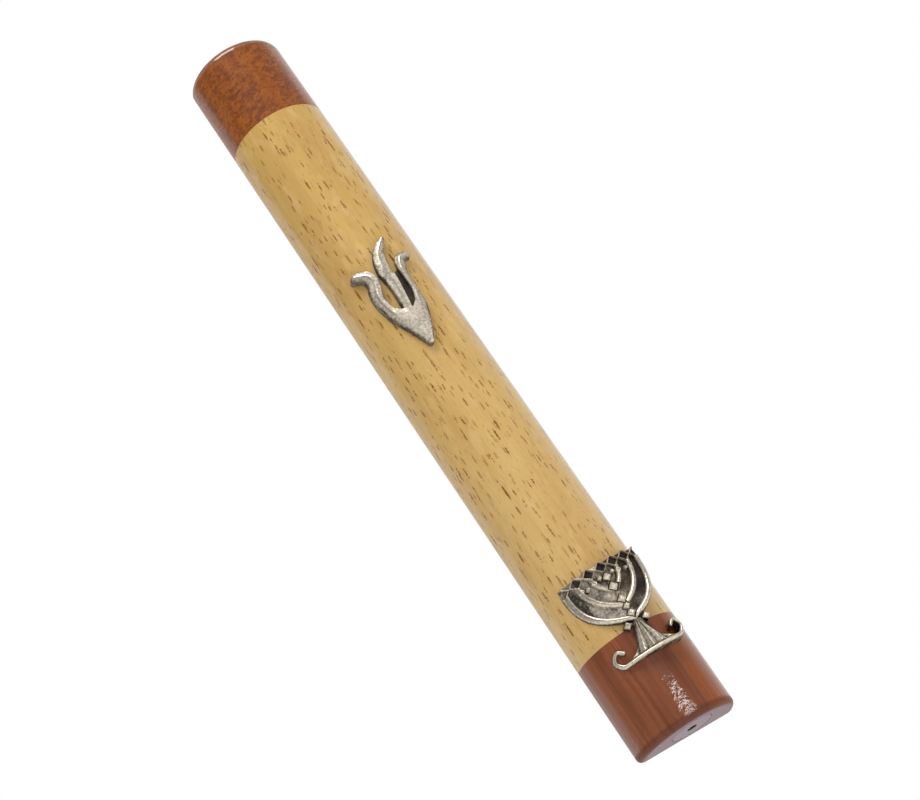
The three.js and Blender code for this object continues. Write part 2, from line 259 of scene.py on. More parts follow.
def dowel():
    low, high = DOWEL_LOW[2], DOWEL_HIGH[2]
    flutes, flute_depth = 18, 0.06

    def flute(angles, radius):
        groove = flute_depth * (0.5 + 0.5 * np.cos(flutes * angles)) ** 4
        return -groove if radius > PLUG_END_RING else 0 * angles

    profile = [(0, low), (PLUG_END_RING, low)]
    profile += [(PLUG_RADIUS - PLUG_CHAMFER, low), (PLUG_RADIUS, low + PLUG_CHAMFER)]
    profile += [(PLUG_RADIUS, z) for z in np.linspace(low + 2, high - 2, 6)]
    return turned([*profile, *chamfered_end(high)], flute)


def plug():
    """The flush stopper: a pull hole in its outer face, a faint dish round it and a bevelled inner end."""
    low, high = STOPPER_LOW[2], STOPPER_HIGH[2]
    round_over, dish = 0.1, 0.01
    hole, hole_end = PULL_HOLE_RADIUS, low + PULL_HOLE_DEPTH
    turns = np.linspace(0, math.pi / 2, 5)
    profile = [(0, hole_end + 0.3), (0.4, hole_end + 0.15), (hole, hole_end)]
    profile += [(hole + round_over * (1 - math.cos(t)), low + round_over * (1 - math.sin(t)))
                for t in turns]
    profile += [(1.7, low + dish), (2.6, low + dish)]
    profile += [(PLUG_RADIUS - round_over * (1 - math.sin(t)), low + round_over * (1 - math.cos(t)))
                for t in turns]
    profile += [(PLUG_RADIUS - 0.01 * math.sin(z * 5), low + z) for z in np.linspace(0.6, 7.0, 12)]
    return turned([*profile, *chamfered_end(high)])


# --- The scroll ---


def parchment():
    """One sheet, rolled into an open spiral whose edges have slipped a little."""
    inner_radius, pitch, thickness, turns, per_turn = 1.3, 0.3, 0.18, 6.25, 72
    steps = int(turns * per_turn)
    turn = np.arange(steps + 1) / per_turn
    wander = 0.03 * np.sin(2.3 * turn + 0.6) + 0.02 * np.sin(5.1 * turn)
    slip = 0.28 * np.sin(1.7 * turn + 0.5) + 0.12 * np.sin(9.0 * turn)

    def face(extra):
        radius = inner_radius + pitch * turn + wander * (turn < turns - 0.2) + extra
        return about_bore(radius, 2 * math.pi * turn, 0)[:, :2]

    outline = np.concatenate([face(thickness), face(0.0)[::-1]])
    slips = np.concatenate([slip, slip[::-1]])
    low, high = ROLL_LOW[2] + 0.45, ROLL_HIGH[2] - 0.45
    rows = []
    for share in np.linspace(0, 1, 30):
        ripple = 0.006 * np.sin(40 * share + outline[:, 0])
        rows.append(np.column_stack([outline + ripple[:, None], low + (high - low) * share + slips]))
    index = numbered(rows)
    faces = tube(index)
    for edge, flip in ((index[0], True), (index[-1], False)):
        outer, inner = edge[:steps + 1], edge[:steps:-1]
        strip = np.stack([outer[:-1], outer[1:], inner[1:], inner[:-1]], -1).tolist()
        faces += [(a, d, c, b) if flip else (a, b, c, d) for a, b, c, d in strip]
    return np.concatenate(rows), faces


def film_sleeve():
    """A thin clear sleeve over the roll; past the roll its ends are pinched in and creased."""
    low, high = FILM_LOW[2], FILM_HIGH[2]
    radius, half_thickness, overhang = 3.5, 0.03, 2.0
    ends = overhang + 1.2
    angles = circle_angles(TURNED_COLUMNS * 2)
    heights = np.unique(np.concatenate([
        np.linspace(low, low + ends, 16),
        np.linspace(low + ends, high - ends, 60),
        np.linspace(high - ends, high, 16),
    ]))
    lap = 0.05 / (1 + np.exp(-(np.sin(angles - 0.8) - 0.93) * 120))

    def ring(z, extra):
        tucked = clip01((overhang - min(z - low, high - z)) / overhang) ** 1.4
        crease = 0.3 * np.sin(9 * angles + 0.06 * z) + 0.16 * np.sin(17 * angles + 1 + z)
        wrinkle = 0.025 * np.sin(3 * angles + z / 4) * np.sin(z / 2.7 + 5 * np.cos(angles))
        reach = radius + lap + wrinkle - tucked * (0.85 + crease) + extra
        return about_bore(reach, angles, z)

    outer = [ring(z, half_thickness) for z in heights]
    inner = [ring(z, -half_thickness) for z in heights[::-1]]
    return skin([*outer, *inner])


# --- Flat outlines given by a signed distance, and the plates cut or cast from them ---


def spline(points, steps=48):
    """A curve through the points, resampled at equal steps along its length."""
    points = np.array(points, float)
    padded = np.vstack([2 * points[0] - points[1], points, 2 * points[-1] - points[-2]])
    samples = []
    for i in range(len(points) - 1):
        a, b, c, d = padded[i:i + 4]
        t = np.linspace(0, 1, 24, endpoint=False)[:, None]
        samples.append(0.5 * (2 * b + (c - a) * t + (2 * a - 5 * b + 4 * c - d) * t ** 2
                              + (3 * b - a - 3 * c + d) * t ** 3))
    return resampled(np.vstack([*samples, points[-1:]]), steps)


def bezier(points, steps=48):
    a, b, c, d = np.array(points, float)
    t = np.linspace(0, 1, 97)[:, None]
    curve = a * (1 - t) ** 3 + 3 * b * t * (1 - t) ** 2 + 3 * c * t ** 2 * (1 - t) + d * t ** 3
    return resampled(curve, steps)


def resampled(curve, steps):
    length = np.concatenate([[0], np.cumsum(np.hypot(*np.diff(curve, axis=0).T))])
    at = np.linspace(0, length[-1], steps + 1)
    return np.stack([np.interp(at, length, curve[:, 0]), np.interp(at, length, curve[:, 1])], -1)


def mirrored(points):
    return [(-x, y) for x, y in points]


def along(p, curve):
    """Distance of each point from a curve, and how far along the curve its nearest point is."""
    nearest = np.full(len(p), 1e9)
    place = np.zeros(len(p))
    last = len(curve) - 1
    for i in range(last):
        step = curve[i + 1] - curve[i]
        offset = p - curve[i]
        t = clip01(offset @ step / (step @ step))
        distance = np.hypot(*(offset - t[:, None] * step).T)
        closer = distance < nearest
        nearest = np.where(closer, distance, nearest)
        place = np.where(closer, (i + t) / last, place)
    return nearest, place


def half_width_at(place, widths):
    """Half of a band's width at a place from 0 to 1; widths are given at equal steps along it."""
    return np.interp(place, np.linspace(0, 1, len(widths)), widths) / 2


def stroke(p, curve, widths):
    """Signed distance of a band along a curve."""
    distance, place = along(p, curve)
    return distance - half_width_at(place, widths)


def polygon(p, corners):
    corners = np.array(corners, float)
    distance, _ = along(p, np.vstack([corners, corners[:1]]))
    inside = np.zeros(len(p), bool)
    for a, b in zip(corners, np.roll(corners, -1, axis=0)):
        crosses = (a[1] > p[:, 1]) != (b[1] > p[:, 1])
        slope = (b[0] - a[0]) / (b[1] - a[1]) if b[1] != a[1] else 0.0
        inside ^= crosses & (p[:, 0] < a[0] + slope * (p[:, 1] - a[1]))
    return np.where(inside, -distance, distance)


def cells_inside(outline, low, high, step):
    """The corners, and the quads between them, of the square cells whose middles the outline holds."""
    across = np.arange(low[0], high[0] + step, step)
    up = np.arange(low[1], high[1] + step, step)
    grid = np.stack(np.meshgrid(across, up), -1)
    centres = (grid[:-1, :-1] + grid[1:, 1:]) / 2
    kept = outline(centres.reshape(-1, 2)).reshape(centres.shape[:2]) < 0
    corner = np.arange(grid.shape[0] * grid.shape[1]).reshape(grid.shape[:2])
    quads = np.stack([corner[:-1, :-1], corner[:-1, 1:], corner[1:, 1:], corner[1:, :-1]], -1)[kept]
    used, quads = np.unique(quads, return_inverse=True)
    return grid.reshape(-1, 2)[used], quads.reshape(-1, 4)


def snapped(points, outline, step):
    """Points near the outline, moved onto it down its slope."""
    nudge = step / 20
    for _ in range(SETTLING_PASSES):
        slope = np.stack([
            outline(points + (nudge, 0)) - outline(points - (nudge, 0)),
            outline(points + (0, nudge)) - outline(points - (0, nudge)),
        ], -1) / (2 * nudge)
        points = points - np.clip(outline(points), -step, step)[:, None] * slope
    return points


def evened(flat, edges, rim):
    """The flat points spread evenly between their neighbours, with those on the rim held."""
    free = np.ones(len(flat), bool)
    free[rim] = False
    for _ in range(SETTLING_PASSES):
        total, neighbours = np.zeros_like(flat), np.zeros(len(flat))
        np.add.at(total, edges[:, 0], flat[edges[:, 1]])
        np.add.at(neighbours, edges[:, 0], 1)
        average = total / np.maximum(neighbours, 1)[:, None]
        flat[free] = (flat[free] + average[free]) / 2
    return flat


def distance_from(marks, flat):
    tree = KDTree(len(marks))
    for i, (u, w) in enumerate(marks):
        tree.insert((u, w, 0), i)
    tree.balance()
    return np.array([tree.find((u, w, 0))[2] for u, w in flat])


def plate_from(outline, low, high, step, front, back, wall_rows):
    """A closed plate over the outline's inside. front and back map flat points to case points;
    front is also given each point's distance from the rim."""
    flat, quads = cells_inside(outline, low, high, step)
    count = len(flat)
    edges = np.concatenate([quads[:, [i, (i + 1) % 4]] for i in range(4)])
    lone = ~np.isin(edges @ (count, 1), edges @ (1, count))
    rim_edges = edges[lone]
    rim = np.unique(rim_edges)
    flat[rim] = snapped(flat[rim], outline, step)
    flat = evened(flat, edges, rim)
    edge_distance = distance_from(flat[rim], flat)
    front_points = front(flat, edge_distance)
    back_points = back(flat)
    shares = np.arange(1, wall_rows) / wall_rows
    wall = [front_points[rim] * (1 - share) + back_points[rim] * share for share in shares]
    points = np.concatenate([front_points, back_points, *wall])
    faces = quads.tolist() + (quads + count)[:, ::-1].tolist()
    rim_place = np.zeros(count, int)
    rim_place[rim] = np.arange(len(rim))
    rows = [rim, *(2 * count + numbered(wall)), rim + count]
    a, b = rim_place[rim_edges].T
    for upper, lower in zip(rows[:-1], rows[1:]):
        faces += np.stack([upper[b], upper[a], lower[a], lower[b]], -1).tolist()
    return points, faces, flat, edge_distance


def rounded_slab(half_width, bottom, top, corner):
    middle, half = (bottom + top) / 2, (top - bottom) / 2

    def outline(p):
        q = np.abs(p - (0, middle)) - (half_width - corner, half - corner)
        return np.hypot(*np.maximum(q, 0).T) + np.minimum(q.max(axis=1), 0) - corner

    return outline


def at_depth(p, y):
    return np.column_stack([p[:, 0], y, p[:, 1]])


def strip_plate(half, low, high, near, far, wall_rows):
    """A plate with rounded corners; near and far give the depth of each point on its two faces."""
    points, faces, _, _ = plate_from(
        rounded_slab(half, low, high, STRIP_CORNER), (-half - 1, low - 1), (half + 1, high + 1), SHEET_STEP,
        lambda p, rim: at_depth(p, near(p)), lambda p: at_depth(p, far(p)), wall_rows)
    return points, faces


def foam_strip():
    half = FOAM_HIGH[0]
    low, high = FOAM_LOW[2], FOAM_HIGH[2]
    near, far = FOAM_LOW[1], FOAM_HIGH[1]
    outline = rounded_slab(half, low, high, STRIP_CORNER)
    soft, seat = 0.18, 0.004

    def roll(p):
        inward = clip01(-outline(p) / soft)
        return 0.7 * soft * (1 - np.sqrt(1 - (1 - inward) ** 2))

    points, faces = strip_plate(
        half, low, high, lambda p: near + seat + roll(p), lambda p: far - roll(p), 4)
    # The cut edge of soft foam bulges between its two skins.
    x, y, z = points.T
    share = clip01((y - near) / (far - near))
    bulge = 0.06 * np.sin(math.pi * share) * (1 + 0.5 * np.sin(z * 2.1))
    points[:, 0] += np.where(np.abs(x) > half - 0.05, np.sign(x) * bulge, 0)
    return points, faces


def liner_sheet():
    half = LINER_HIGH[0]
    low, high = LINER_LOW[2], LINER_HIGH[2]
    near, far = LINER_LOW[1], LINER_HIGH[1]
    strip_end, tab_length = FOAM_LOW[2], 4

    def lift(p):
        """The free tab leans towards the case and cups a little across its width."""
        tab = clip01((strip_end - p[:, 1]) / tab_length)
        return -0.45 * tab ** 2 - 0.05 * tab * (1 - np.cos(p[:, 0] / half * math.pi)) / 2

    return strip_plate(half, low, high, lambda p: near + 0.01 + lift(p), lambda p: far + lift(p), 2)


# --- The cast emblems ---


# Each emblem's place on the case, and the corners of a flat box that holds its outline.
SHIN = {"x": -1.6, "foot": 78.5, "thickness": 1.2, "low": (-6, -1), "high": (8.5, 24.5)}
MENORAH = {"x": 0.2, "foot": 12.4, "thickness": 1.5, "low": (-9.2, -1), "high": (9.2, 18.6)}
EMBLEM_TURN = math.radians(8)
EMBLEM_RADIUS = 11  # of the casting's rounded front
EMBLEM_SEAT = 0.03  # the glue line between an emblem and the lacquer
CAST_EASE = 0.16  # radius of a cast edge
RUBBED_BRIGHT = 1.15  # above 1, so that the patina's drift doesn't dull it


def emblem_place(emblem, p):
    """Flat emblem points to (x, z) on the case."""
    return emblem["x"] + p[:, 0], emblem["foot"] - HALF_LENGTH + p[:, 1]


def emblem_front(emblem, p, height):
    """Height is measured from the emblem's rounded front, positive away from the wood."""
    x, z = emblem_place(emblem, p)
    centre_x = emblem["x"] + EMBLEM_RADIUS * math.sin(EMBLEM_TURN)
    centre_y = FRONT_Y - emblem["thickness"] + EMBLEM_RADIUS * math.cos(EMBLEM_TURN)
    y = centre_y - np.sqrt(EMBLEM_RADIUS ** 2 - (x - centre_x) ** 2)
    return np.column_stack([x, y - height, z])


def emblem_back(emblem, p):
    x, z = emblem_place(emblem, p)
    wood = CASE_RADIUS + EMBLEM_SEAT
    return np.column_stack([x, AXIS_Y - np.sqrt(wood ** 2 - x ** 2), z])


def soft_max(a, b, blend):
    return np.maximum(a, b) + np.maximum(blend - np.abs(a - b), 0) ** 2 / (4 * blend)


def eased(edge):
    """How far a cast edge falls away, given the distance from the rim."""
    return CAST_EASE * (np.sqrt(1 - (1 - clip01(edge / CAST_EASE)) ** 2) - 1)


def wobble(p, scale, seed):
    """A smooth irregular field of about unit size."""
    u, w = p[:, 0] / scale + seed, p[:, 1] / scale - seed
    return (np.sin(u * 1.7 + 1.3 * np.sin(w * 1.1 + seed)) + np.sin(w * 1.9 + 1.1 * np.sin(u * 1.3))
            + np.sin((u + w) * 1.2 + seed)) / 3


def cast(name, emblem, outline, relief, node, material):
    """relief(points, edge distance) gives the height, and how bright the metal shows: 0 dark, 1 bright,
    from wear and from painted shade.
    """
    points, faces, flat, edge = plate_from(
        outline, emblem["low"], emblem["high"], CAST_STEP,
        lambda p, rim: emblem_front(emblem, p, relief(p, rim)[0]),
        lambda p: emblem_back(emblem, p), 6)
    wear_and_shade = np.full(len(points), 0.25)
    wear_and_shade[:len(flat)] = relief(flat, edge)[1]
    add_piece(name, points, faces, "case", "pewter", node, material, wear_and_shade)


SHIN_LEAF = [
    (0, 0), (0.5, 0.3), (1.5, 2.4), (2.7, 5.3), (3.5, 8), (3.6, 10.6),
    (2.1, 9.2), (0.9, 8), (-0.6, 8.4), (-2, 9.6),
    (-3.8, 10.6), (-3.5, 8.4), (-2.5, 5.8), (-1.3, 2.8), (-0.5, 0.4),
]
SHIN_FLAMES = [
    (spline([(-2.3, 7.6), (-3.1, 10.8), (-3.2, 13.4), (-2.5, 16), (-3, 17.7), (-4.6, 18.8)]),
     [1.3, 1.6, 1.7, 2.2, 2, 1.3]),
    (spline([(-0.2, 6), (0.15, 10.5), (0.35, 14), (0.25, 17.3), (1.1, 20.4), (3.2, 22.8)]),
     [1, 1.6, 1.9, 2.5, 2.2, 0.8]),
    (spline([(2.2, 7.4), (3, 10.8), (3.15, 14), (3.4, 16.4), (4.1, 17.9), (5.6, 18.2)]),
     [1.3, 1.2, 0.95, 1.2, 1.9, 1.3]),
]
# A sheet across the right-hand gap, cast dark to stand for the shadow there: painted shadow.
SHIN_SHADOW_WEB = [(0.6, 7.4), (2.6, 8.6), (3.2, 16.9), (1.1, 15.4)]


def shin_outline(p):
    distance = polygon(p, SHIN_LEAF)
    for curve, widths in SHIN_FLAMES:
        distance = np.minimum(distance, stroke(p, curve, widths))
    return np.minimum(distance, polygon(p, SHIN_SHADOW_WEB))


def shin_relief(p, edge):
    """A softly crowned plate with a vein along each flame; a deep dark web fills the right-hand gap as
    painted shadow.
    """
    crown, vein_height, vein_half_width, shadow_web_depth = 0.12, 0.1, 0.3, 0.98
    height = crown * clip01(edge / 0.95) ** 0.8 - crown + eased(edge)
    height += 0.03 * wobble(p, 1.1, 2)
    # Painted shade: the metal is darker towards the rim.
    wear_and_shade = 0.3 + 0.32 * clip01(edge / 0.4) + 0.08 * wobble(p, 0.8, 3)
    solid = polygon(p, SHIN_LEAF)
    for curve, widths in SHIN_FLAMES:
        distance, place = along(p, curve)
        vein = clip01(1 - distance / vein_half_width) * clip01(place / 0.15)
        height += vein_height * vein
        wear_and_shade += 0.3 * vein
        solid = np.minimum(solid, stroke(p, curve, widths))
    tip = clip01(1 - np.hypot(p[:, 0], p[:, 1] - 0.9) / 0.9)
    # Painted shadow: the web is sunk deep and left dark.
    shadow_web = clip01(solid / 0.1)
    return height - shadow_web_depth * shadow_web, (wear_and_shade + 0.5 * tip) * (1 - shadow_web)


BRANCHES = [
    (bezier([(6.75, 16.6), (7.05, 10.6), (4.8, 7.9), (0, 6.5)]), 1.05),
    (bezier([(4.8, 16.2), (4.9, 13.2), (3.3, 10.4), (0, 9.1)]), 0.95),
    (bezier([(2.5, 16.2), (2.5, 14.4), (1.7, 13), (0, 11.9)]), 0.85),
]
FAN_HALF_WIDTH = 7.2
FAN_FLOOR = -0.8  # the sunk field behind the branches, from the emblem's front
CUP_PIT = -1.05  # the lamp cups' floor, from the same
CUP_BAND = (15.6, 17.45)
STEM_HALF_WIDTH, STEM_SPAN = 0.45, (5, 16)
COLLAR_HALF_WIDTH, COLLAR_UP = 1.7, 5.7
BAR_HALF_LENGTH, BAR_UP = 4.2, 0.42
CUP_SPACING, CUP_UP = 2.3, 16.45
CUPS = [(i * CUP_SPACING, CUP_UP) for i in range(-3, 4)]
# Across, up and half width of each stud: five on the stem, then three pairs.
KNOBS = [(0, 7.3, 0.8), (0, 8.7, 0.7), (0, 10.1, 0.82), (0, 12.6, 0.9), (0, 14.5, 0.8)]
KNOBS += [(side * x, up, size) for x, up, size in ((1.75, 5.7, 0.78), (1.2, 14.9, 0.5), (3.6, 14.4, 0.45))
          for side in (1, -1)]
CURL = [(3.8, 0.42), (5.4, 0.6), (6.2, 2), (5.4, 3.2), (4.5, 2.5)]
CURL_WIDTHS = [0.84, 0.85, 0.68, 0.66, 0.72]
VOLUTES = [spline(CURL), spline(mirrored(CURL))]
SKIRT_SIDE = [(0.5, 6), (1.6, 3.6), (1.6, 1.2), (4.4, 0.85)]
SKIRT = [*bezier(SKIRT_SIDE, 16), (4.6, 0), (-4.6, 0), *bezier(mirrored(SKIRT_SIDE), 16)[::-1]]


def folded(p):
    """Both halves of a mirror-symmetrical emblem laid over its right half."""
    return np.column_stack([np.abs(p[:, 0]), p[:, 1]])


def diamond(p, x, up):
    return np.abs(p[:, 0] - x) + np.abs(p[:, 1] - up)


def menorah_outline(p):
    half = folded(p)
    rim, rim_width = BRANCHES[0]
    plate = polygon(half, [(-1, CUP_UP), (FAN_HALF_WIDTH - 0.1, CUP_UP), *rim, (-1, 6.5)])
    parts = [plate, polygon(p, SKIRT), cup_band(p), stroke(half, rim, [rim_width, rim_width])]
    parts += [(diamond(p, x, up) - size) / math.sqrt(2) for x, up, size in KNOBS]
    parts += [stroke(p, curve, CURL_WIDTHS) for curve in VOLUTES]
    parts.append(np.maximum(half[:, 0] - COLLAR_HALF_WIDTH, np.abs(p[:, 1] - COLLAR_UP) - 0.3))
    past_stem = np.maximum(STEM_SPAN[0] - p[:, 1], p[:, 1] - STEM_SPAN[1])
    parts.append(np.maximum(half[:, 0] - STEM_HALF_WIDTH, past_stem))
    return np.min(parts, axis=0)


def cup_band(p):
    """The band that holds the lamp cups, its top nicked between one cup and the next."""
    nick = 0.16 * np.abs(np.mod(p[:, 0] / CUP_SPACING + 0.5, 1) - 0.5) * 2
    across = np.abs(p[:, 0]) - FAN_HALF_WIDTH
    up = np.maximum(CUP_BAND[0] - p[:, 1], p[:, 1] - CUP_BAND[1] + nick)
    return np.maximum(across, up)


def ridge(distance, half_width, height):
    """A rounded ridge over the fan's floor."""
    inside = clip01(1 - (distance / half_width) ** 2)
    return FAN_FLOOR + (height - FAN_FLOOR) * inside ** 0.65


def menorah_relief(p, edge):
    """Height from the emblem's front, and how bright the metal shows, from 0 dark to 1 bright: wear, with
    painted shade.
    """
    half = folded(p)
    height = FAN_FLOOR + 0.05 * wobble(p, 0.8, 1)
    # Painted shade: the field is brighter on the left and darker towards the right, as the light falls; the
    # wobble is uneven antiquing.
    wear_and_shade = 0.42 - 0.4 * clip01((p[:, 0] + 1) / 4) + 0.14 * wobble(p, 0.9, 5)
    for curve, width in BRANCHES:
        distance, _ = along(half, curve)
        height, wear_and_shade = laid_on(height, wear_and_shade, ridge(distance, 0.56 * width, 0.05))
    on_stem = (p[:, 1] > STEM_SPAN[0]) & (p[:, 1] < STEM_SPAN[1])
    stem = np.where(on_stem, half[:, 0], np.inf)
    height, wear_and_shade = laid_on(height, wear_and_shade, ridge(stem, STEM_HALF_WIDTH, -0.12))
    for x, up in CUPS:
        height, wear_and_shade = lamp_cup(p, x, up, height, wear_and_shade)
    for x, up, size in KNOBS:
        height, wear_and_shade = knob(diamond(p, x, up) / size, height, wear_and_shade)
    height, wear_and_shade = fluted_skirt(p, height, wear_and_shade)
    bar = np.hypot(np.maximum(half[:, 0] - BAR_HALF_LENGTH, 0), p[:, 1] - BAR_UP)
    height, wear_and_shade = laid_on(height, wear_and_shade, ridge(bar, 0.46, 0.1))
    wear_and_shade = np.where(bar < 0.4, RUBBED_BRIGHT, wear_and_shade)
    for curve in VOLUTES:
        distance, place = along(p, curve)
        height, wear_and_shade = laid_on(height, wear_and_shade, ridge(distance, half_width_at(place, CURL_WIDTHS) * 1.1, 0.08))
    # Painted shade: darker close to the rim.
    wear_and_shade = wear_and_shade * np.clip(edge / 0.12, 0.35, 1)
    return height + eased(edge) + 0.012 * wobble(p, 0.45, 4), wear_and_shade


def laid_on(height, wear_and_shade, raised):
    """A ridge laid over the relief, worn bright in proportion to how far it stands up."""
    stands = raised - FAN_FLOOR
    bare_metal_share = clip01(stands / 0.75) ** 1.6
    groove = clip01(1 - np.abs(stands - 0.04) / 0.04) * (raised > FAN_FLOOR)
    wear_and_shade = np.maximum(wear_and_shade * (1 - 0.5 * groove), bare_metal_share)
    return soft_max(height, raised, 0.05), wear_and_shade


def lamp_cup(p, x, up, height, wear_and_shade):
    """A dark square pit standing on its corner, with a bright rim, over a small chalice."""
    reach = diamond(p, x, up)
    on_band = np.abs(p[:, 0]) < FAN_HALF_WIDTH - 0.15
    rim = np.where(on_band, ridge(reach - 1.04, 0.2, 0.06), FAN_FLOOR)
    height, wear_and_shade = laid_on(height, wear_and_shade, rim)
    pit = reach < 0.88
    height = np.where(pit, CUP_PIT, height)
    wear_and_shade = np.where(pit, 0.0, wear_and_shade)
    chalice = ridge(diamond(p, x, up - 1.8) - 0.4, 0.26, 0.06)
    raised, bare_metal_share = laid_on(height, wear_and_shade, chalice)
    below = (reach > 1.15) & (np.abs(x) < 6)
    return np.where(below, raised, height), np.where(below, bare_metal_share, wear_and_shade)


def knob(reach, height, wear_and_shade):
    """A cut square stud in a dark groove; reach is 1 at its rim."""
    stud = 0.3 - 0.4 * clip01((reach - 0.45) / 0.55)
    groove = (reach >= 1) & (reach < 1.3)
    height = np.where(reach < 1, stud, np.where(groove, np.minimum(height, -0.4), height))
    wear_and_shade = np.where(reach < 1, RUBBED_BRIGHT - 0.5 * clip01((reach - 0.5) / 0.5), wear_and_shade)
    return height, np.where(groove, np.minimum(wear_and_shade, 0.1), wear_and_shade)


def fluted_skirt(p, height, wear_and_shade):
    """The foot's hanging cloth, its folds spreading downwards."""
    spread = 0.35 + 0.32 * np.clip(5.8 - p[:, 1], 0, 6) ** 1.1
    fold = np.cos(2.5 * math.pi * np.clip(p[:, 0] / spread, -2, 2))
    cloth = -0.06 + 0.16 * fold - 0.1 * (p[:, 0] / (spread + 1)) ** 2
    on_skirt = (polygon(p, SKIRT) < 0) & (p[:, 1] > 0.85)
    height = np.where(on_skirt, soft_max(height, cloth, 0.05), height)
    return height, np.where(on_skirt, 0.72 + 0.5 * fold, wear_and_shade)


# --- Materials ---


class Nodes:
    """Builds a node tree. Any value may be a number, a colour or another node's output."""

    def __init__(self, owner):
        owner.use_nodes = True
        self.tree = owner.node_tree
        self.tree.nodes.clear()

    def node(self, kind, values=None, **settings):
        node = self.tree.nodes.new(kind)
        for key, value in settings.items():
            setattr(node, key, value)
        for key, value in (values or {}).items():
            if isinstance(value, bpy.types.NodeSocket):
                self.tree.links.new(value, node.inputs[key])
            elif value is not None:
                node.inputs[key].default_value = value
        return node

    def vector(self, operation, a, b=None, scale=None):
        values = {0: a, 1: b} if scale is None else {0: a, "Scale": scale}
        return self.node("ShaderNodeVectorMath", values, operation=operation).outputs[0]

    def math(self, operation, a, b=None, c=None, clamp=False):
        values = {0: a, 1: b, 2: c}
        return self.node("ShaderNodeMath", values, operation=operation, use_clamp=clamp).outputs[0]

    def times(self, a, b):
        return self.math("MULTIPLY", a, b)

    def xyz(self, vector):
        return self.node("ShaderNodeSeparateXYZ", {0: vector}).outputs

    def fit(self, value, low, high, to_low=0.0, to_high=1.0, smooth=True):
        values = {"Value": value, "From Min": low, "From Max": high, "To Min": to_low, "To Max": to_high}
        kind = "SMOOTHSTEP" if smooth else "LINEAR"
        return self.node("ShaderNodeMapRange", values, interpolation_type=kind).outputs[0]


class Shader(Nodes):
    """A material. mm is the place on the piece in millimetres, and sizes of features are too."""

    def __init__(self, name):
        self.material = bpy.data.materials.new(name)
        super().__init__(self.material)
        self.mm = self.vector("SCALE", self.node("ShaderNodeTexCoord").outputs["Object"], scale=1 / MM)

    def sized(self, size, vector, shift):
        """Coordinates in which a feature of the given size is one unit long."""
        return self.vector("DIVIDE", self.vector("ADD", vector or self.mm, shift), size)

    def noise(self, size, detail=2.0, rough=0.5, distortion=0.0, vector=None, shift=(0, 0, 0), output=0):
        values = {"Vector": self.sized(size, vector, shift), "Scale": 1.0, "Detail": detail,
                  "Roughness": rough, "Distortion": distortion}
        return self.node("ShaderNodeTexNoise", values).outputs[output]

    def cells(self, size, vector=None, shift=(0, 0, 0)):
        values = {"Vector": self.sized(size, vector, shift), "Scale": 1.0}
        return self.node("ShaderNodeTexVoronoi", values).outputs

    def pores(self, size, outer, inner, deepest=1.0, vector=None):
        """Small pits, deepest nearer than inner to a cell's middle and gone past outer."""
        return self.fit(self.cells(size, vector)["Distance"], outer, inner, 0.0, deepest)

    def mix(self, share, a, b):
        values = {0: share, 6: colour(a), 7: colour(b)}
        return self.node("ShaderNodeMix", values, data_type="RGBA").outputs[2]

    def bump(self, height, depth, normal=None, strength=1.0):
        values = {"Height": height, "Distance": depth * MM, "Strength": strength, "Normal": normal}
        return self.node("ShaderNodeBump", values).outputs[0]

    def off_bore(self):
        """Distance from the bore's axis in millimetres."""
        across = self.vector("ADD", self.mm, (0, -BORE_Y, 0))
        flat = self.vector("MULTIPLY", across, (1, 1, 0))
        return self.node("ShaderNodeVectorMath", {0: flat}, operation="LENGTH").outputs["Value"]

    def wear_and_shade(self):
        return self.node("ShaderNodeAttribute", attribute_name="wear_and_shade").outputs["Fac"]

    def finish(self, **values):
        named = {key.replace("_", " "): value for key, value in values.items()}
        return self.surface(self.node("ShaderNodeBsdfPrincipled", named).outputs[0])

    def surface(self, closure):
        self.node("ShaderNodeOutputMaterial", {"Surface": closure})
        return self.material


def colour(value):
    """An sRGB triple of 0 to 255 as a linear colour; anything else passes through."""
    if isinstance(value, tuple) and len(value) == 3:
        share = np.array(value) / 255
        linear = np.where(share <= 0.04045, share / 12.92, ((share + 0.055) / 1.055) ** 2.4)
        return (*linear, 1.0)
    return value


BEECH_PALE, BEECH_GOLD = (212, 178, 116), (204, 166, 92)
BEECH_SHADE, BEECH_LIGHT = (184, 142, 78), (222, 190, 134)
BEECH_RING, BEECH_STREAK, BEECH_PORE = (176, 130, 76), (178, 138, 80), (150, 108, 62)
FLECK_BROWN = (138, 88, 38)
WOOD_SHEEN = 0.15  # the bare wood's own reflection, weak under the coat
TOP_CAP_TONES = ((120, 58, 12), (152, 84, 24))
FOOT_CAP_TONES = ((112, 60, 36), (140, 80, 50))
FOOT_CAP_ORANGE = (146, 74, 24)
# The last of these is a painted shade for the caps' rounded ends.
MAHOGANY_STREAK, MAHOGANY_PORE, PAINTED_EDGE_SHADE = (84, 38, 20), (62, 28, 14), (66, 34, 26)
MOTTLE_PALE, MOTTLE_DARK = (164, 90, 30), (88, 38, 10)
# The end face's mauve: end grain's tone with a painted reflection of the pale surroundings.
END_GRAIN_AND_PAINTED_REFLECTION = (100, 57, 72)
METAL_TONES = ((190, 178, 160), (232, 222, 204))
PATINA_TONES = ((32, 23, 17), (68, 54, 40))
CAST_PIT = (48, 38, 30)
PITH = (14, -46, 0)  # offset that moves the beech's pith to the origin


def wandering_grain(s, amount):
    """Coordinates whose grain lines wander instead of running dead straight."""
    drift = s.noise((5, 5, 26), detail=2, output="Color")
    centred = s.vector("SUBTRACT", drift, (0.5, 0.5, 0.5))
    return s.vector("ADD", s.mm, s.vector("MULTIPLY", centred, (amount, amount, 0.0)))


